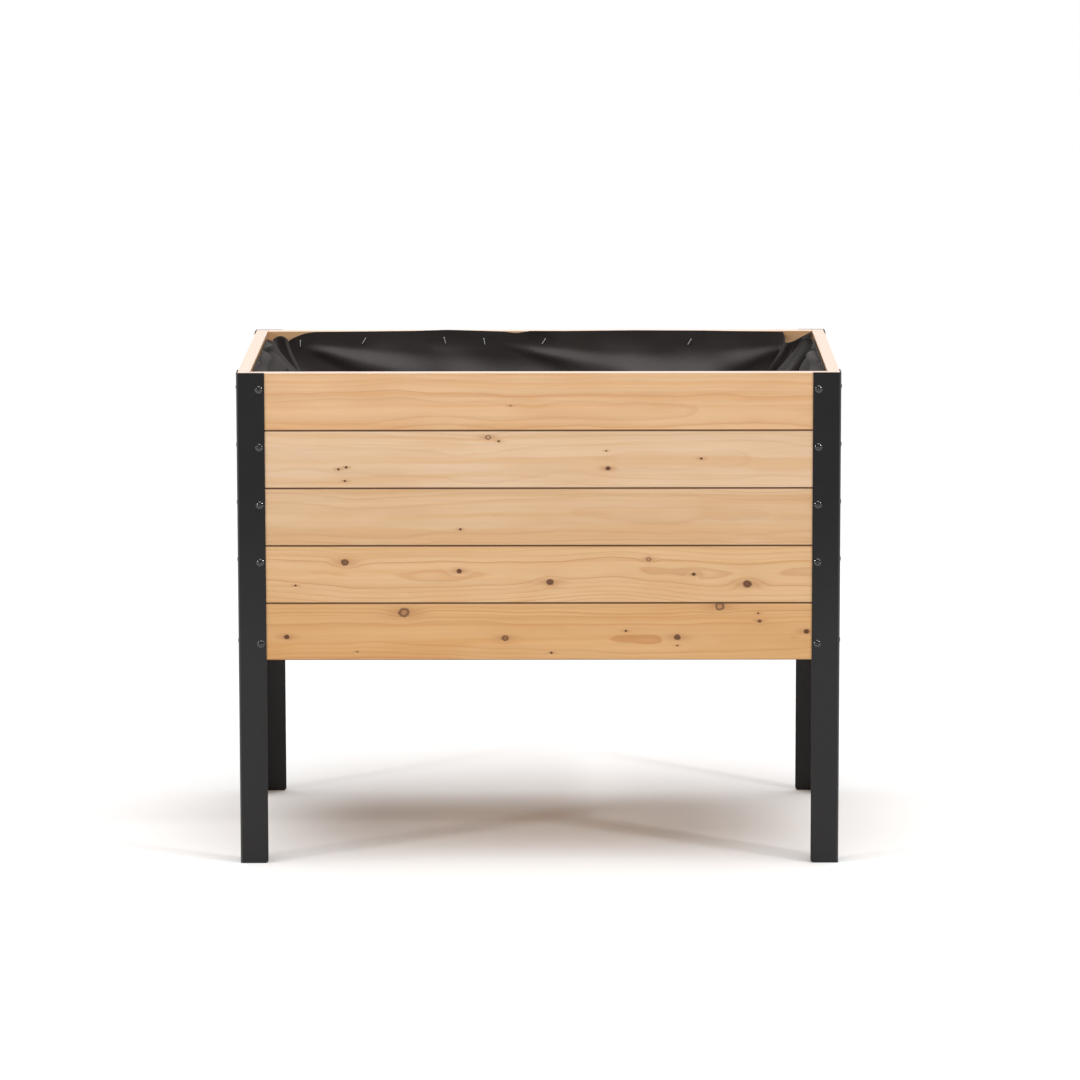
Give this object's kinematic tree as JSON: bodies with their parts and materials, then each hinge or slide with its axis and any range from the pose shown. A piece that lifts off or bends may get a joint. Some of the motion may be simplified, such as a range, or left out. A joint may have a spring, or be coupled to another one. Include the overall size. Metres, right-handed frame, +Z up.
{
  "type": "raised planter",
  "caption": "Rectangular cedar planter box of stacked boards, raised on bent steel angle legs, with a slatted floor and a stapled fabric liner.",
  "frame": {"origin": "on the ground under the middle of the box", "axes": "+X along the long side, -Y towards the front, +Z up"},
  "size_m": [0.9276, 0.5696, 0.762],
  "materials": {
    "cedar": "planed, unfinished",
    "leg_coating": "satin black powder coat",
    "black_screw": "black coated steel",
    "zinc_screw": "zinc plated",
    "staple_wire": "galvanised wire",
    "liner_fabric": "black non-woven fabric"
  },
  "bodies": {
    "root": {"cleat_front": "cedar", "cleat_left": "cedar", "cleat_rear": "cedar", "cleat_right": "cedar", "cleat_screws": "zinc_screw", "floor_slat_1": "cedar", "floor_slat_2": "cedar", "floor_slat_3": "cedar", "floor_slat_4": "cedar", "floor_slat_5": "cedar", "floor_slat_6": "cedar", "floor_slat_7": "cedar", "floor_slat_8": "cedar", "floor_slat_9": "cedar", "front_board_1": "cedar", "front_board_2": "cedar", "front_board_3": "cedar", "front_board_4": "cedar", "front_board_5": "cedar", "left_board_1": "cedar", "left_board_2": "cedar", "left_board_3": "cedar", "left_board_4": "cedar", "left_board_5": "cedar", "leg_front_left": "leg_coating", "leg_front_right": "leg_coating", "leg_rear_left": "leg_coating", "leg_rear_right": "leg_coating", "leg_screws_front_left": "black_screw", "leg_screws_front_right": "black_screw", "leg_screws_rear_left": "black_screw", "leg_screws_rear_right": "black_screw", "liner": "liner_fabric", "liner_staples": "staple_wire", "rear_board_1": "cedar", "rear_board_2": "cedar", "rear_board_3": "cedar", "rear_board_4": "cedar", "rear_board_5": "cedar", "right_board_1": "cedar", "right_board_2": "cedar", "right_board_3": "cedar", "right_board_4": "cedar", "right_board_5": "cedar", "sill_screws": "black_screw", "slat_screws": "zinc_screw"}
  },
  "joints": []
}
